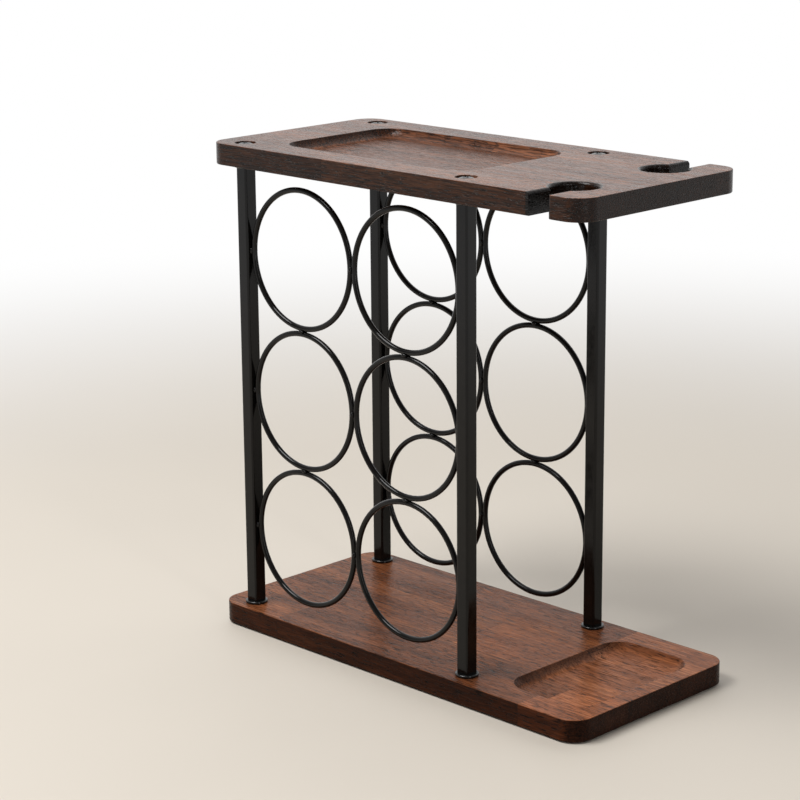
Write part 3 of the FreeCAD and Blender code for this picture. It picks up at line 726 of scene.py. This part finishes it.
floorLook = {"colour": (0.66, 0.60, 0.52), "mottle": (3, 3, 3), "darker": 0.97, "roughness": 0.6,
             "fade": (0.45, 1.5), "size": 6.0}
bm = bmesh.new()
bmesh.ops.create_grid(bm, x_segments=1, y_segments=1, size=floorLook["size"])
floor = meshObject("floor", bm)
floorMaterial, tree, shader = newMaterial("paleFloor")
place = tree.nodes.new("ShaderNodeTexCoord").outputs["Object"]
tint = [(0.3, floorLook["colour"]),
        (0.7, tuple(floorLook["darker"] * part for part in floorLook["colour"]))]
mottle = ramp(tree, speckle(tree, place, floorLook["mottle"], 2), tint)
tree.links.new(mottle, shader.inputs["Base Color"])
shader.inputs["Roughness"].default_value = floorLook["roughness"]
reach = tree.nodes.new("ShaderNodeVectorMath")
reach.operation = "LENGTH"
tree.links.new(place, reach.inputs[0])
paths = tree.nodes.new("ShaderNodeLightPath").outputs
seen = calc(tree, "MAXIMUM", paths["Is Camera Ray"], paths["Is Glossy Ray"])
seen = calc(tree, "MAXIMUM", seen, paths["Is Transmission Ray"])
faded = spread(tree, reach.outputs["Value"], *floorLook["fade"])  # to plain white far away
white = tree.nodes.new("ShaderNodeEmission")
mix = tree.nodes.new("ShaderNodeMixShader")
for source, entry in zip((calc(tree, "MULTIPLY", seen, faded), shader.outputs[0], white.outputs[0]),
                         mix.inputs):
    tree.links.new(source, entry)
tree.links.new(mix.outputs[0], tree.nodes["Material Output"].inputs["Surface"])
floor.data.materials.append(floorMaterial)
print("floor ready")


worldLook = {"brightSide": (-0.67, 0.74, 0.0),
             "mirrored": (0.0, 0.6, 0.30, 1.0), "scattered": (-0.3, 0.7, 0.14, 0.95)}
world = bpy.data.worlds.new("studio")
bpy.context.scene.world = world
world.use_nodes = True
tree = world.node_tree
background = tree.nodes["Background"]
background.inputs["Color"].default_value = (1, 1, 1, 1)
toBright = tree.nodes.new("ShaderNodeVectorMath")  # light comes mostly from one side
toBright.operation = "DOT_PRODUCT"
tree.links.new(tree.nodes.new("ShaderNodeTexCoord").outputs["Generated"], toBright.inputs[0])
toBright.inputs[1].default_value = worldLook["brightSide"]
mirrored = spread(tree, toBright.outputs["Value"], *worldLook["mirrored"])
scattered = spread(tree, toBright.outputs["Value"], *worldLook["scattered"])
paths = tree.nodes.new("ShaderNodeLightPath").outputs
glossy = calc(tree, "MULTIPLY", paths["Is Glossy Ray"], mirrored)
direct = calc(tree, "MAXIMUM", paths["Is Camera Ray"], paths["Is Transmission Ray"])
strength = calc(tree, "MAXIMUM", calc(tree, "MAXIMUM", direct, glossy), scattered)
tree.links.new(strength, background.inputs["Strength"])

lamps = {
    "keyLamp": {"place": (-0.5, -0.95, 2.0), "aim": (0, 0, 0.2), "size": (1.1, 1.1), "watts": 42},
    "sideLamp": {"place": (1.65, -0.52, 0.7), "aim": (0, 0, 0.25), "size": (0.2, 1.2),
                 "watts": 4.5},
}
for name, setup in lamps.items():
    lamp = bpy.data.lights.new(name, "AREA")
    lamp.shape = "RECTANGLE"
    lamp.size, lamp.size_y = setup["size"]
    lamp.energy = setup["watts"]
    holder = bpy.data.objects.new(name, lamp)
    bpy.context.scene.collection.objects.link(holder)
    holder.location = setup["place"]
    ray = Vector(setup["aim"]) - Vector(setup["place"])
    holder.rotation_euler = ray.to_track_quat("-Z", "Y").to_euler()
print("light ready")

cameraSetup = {"focal": 108.494, "sensor": 36, "clip": 0.05, "azimuth": 45.1474,
               "elevation": 14.8748, "roll": -0.502, "distance": 1.69546,
               "target": (-0.06276, 0.0, 0.17038)}
lens = bpy.data.cameras.new("camera")
lens.sensor_width = cameraSetup["sensor"]
lens.lens = cameraSetup["focal"]
lens.clip_start = cameraSetup["clip"]
camera = bpy.data.objects.new("camera", lens)
bpy.context.scene.collection.objects.link(camera)
a, e, roll = (radians(cameraSetup[key]) for key in ("azimuth", "elevation", "roll"))
back = Vector((sin(a) * cos(e), -cos(a) * cos(e), sin(e)))
right = Vector((cos(a), sin(a), 0))
up = back.cross(right)
rolledRight = right * cos(roll) + up * sin(roll)
rolledUp = up * cos(roll) - right * sin(roll)
turned = Matrix((rolledRight, rolledUp, back)).transposed().to_4x4()
stand = Vector(cameraSetup["target"]) + back * cameraSetup["distance"]
camera.matrix_world = Matrix.Translation(stand) @ turned
bpy.context.scene.camera = camera
bpy.context.scene.view_settings.view_transform = "Standard"
print("camera ready")
